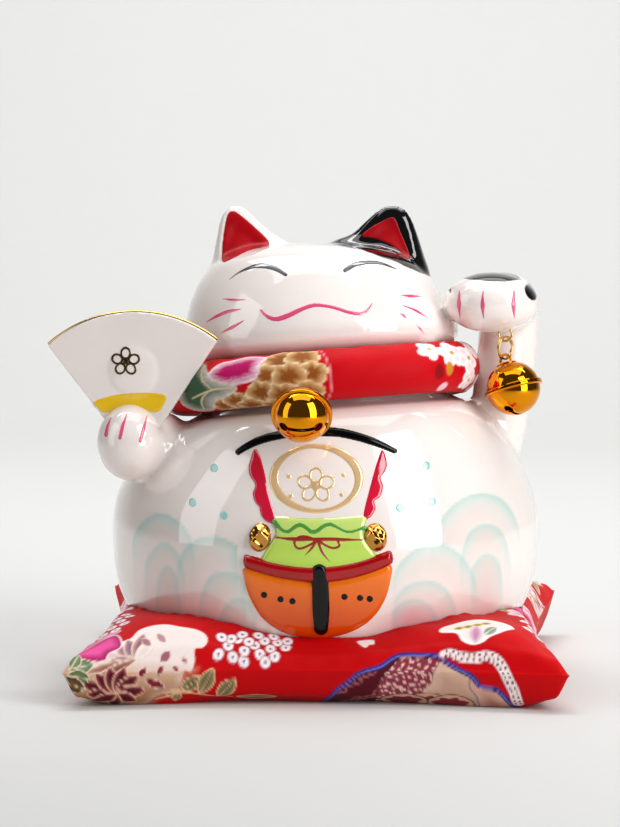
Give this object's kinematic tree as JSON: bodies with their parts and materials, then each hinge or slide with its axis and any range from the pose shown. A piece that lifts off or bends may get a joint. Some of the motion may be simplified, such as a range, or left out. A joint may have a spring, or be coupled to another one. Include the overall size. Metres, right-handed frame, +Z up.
{
  "type": "beckoning cat figurine",
  "caption": "Glazed porcelain beckoning cat money bank with a raised paw, fan and jingle bells, sitting on a stuffed brocade cushion.",
  "frame": {"origin": "centre of the cushion's underside, on the surface it stands on", "axes": "+Z up; the cat faces -Y; +X is toward the cat's left, the side of its raised paw"},
  "size_m": [0.1925, 0.18, 0.1747],
  "materials": {
    "glaze": "clear glaze over slip-cast porcelain, painted colours and gold",
    "brocade": "printed crepe brocade",
    "wadding": "white polyester wadding",
    "rubber": "soft translucent rubber",
    "brass": "mirror gold plating",
    "steel": "plain steel",
    "cord": "covered elastic and sewing thread"
  },
  "bodies": {
    "cushion": {"cushion_top_panel": "brocade", "cushion_bottom_panel": "brocade", "cushion_filling": "wadding"},
    "cat": {"body_shell": "glaze", "raised_arm": "glaze", "fan_arm": "glaze", "fan": "glaze", "collar_cover": "brocade", "collar_filling": "wadding", "collar_elastic": "cord", "collar_bell_thread": "cord", "paw_eye": "brass"},
    "stopper": {"base_stopper": "rubber"},
    "collar_ring": {"collar_jump_ring": "brass"},
    "collar_bell": {"collar_bell_upper_shell": "brass", "collar_bell_lower_shell": "brass", "collar_bell_staple": "brass"},
    "collar_pellet": {"collar_bell_pellet": "steel"},
    "paw_ring": {"paw_split_ring": "brass"},
    "paw_bell": {"paw_bell_upper_shell": "brass", "paw_bell_lower_shell": "brass", "paw_bell_staple": "brass"},
    "paw_pellet": {"paw_bell_pellet": "steel"}
  },
  "joints": [
    {"name": "cat_lift", "type": "slide", "parent": "cushion", "child": "cat", "axis": [0, 0, 1], "range_m": [0, 0.08]},
    {"name": "stopper_pull", "type": "slide", "parent": "cat", "child": "stopper", "axis": [0, 0, -1], "range_m": [0, 0.0065]},
    {"name": "collar_ring_swing", "type": "hinge", "parent": "cat", "child": "collar_ring", "pos_m": [-0.0053, -0.05947, 0.11053], "axis": [1, 0, 0], "range_deg": [-35, 6]},
    {"name": "collar_bell_swing", "type": "hinge", "parent": "collar_ring", "child": "collar_bell", "pos_m": [-0.0053, -0.06298, 0.10862], "axis": [0, -0.4772, 0.8788], "range_deg": [-25, 25]},
    {"name": "collar_pellet_rattle", "type": "slide", "parent": "collar_bell", "child": "collar_pellet", "axis": [0, 0, 1], "range_m": [0, 0.006]},
    {"name": "paw_ring_swing", "type": "hinge", "parent": "cat", "child": "paw_ring", "pos_m": [0.067, -0.025, 0.1263], "axis": [1, 0, 0], "range_deg": [-15, 8]},
    {"name": "paw_bell_swing", "type": "hinge", "parent": "paw_ring", "child": "paw_bell", "pos_m": [0.067, -0.025, 0.1197], "axis": [0.6157, 0.788, 0], "range_deg": [-15, 14]},
    {"name": "paw_pellet_rattle", "type": "slide", "parent": "paw_bell", "child": "paw_pellet", "axis": [0, 0, 1], "range_m": [0, 0.006]}
  ]
}
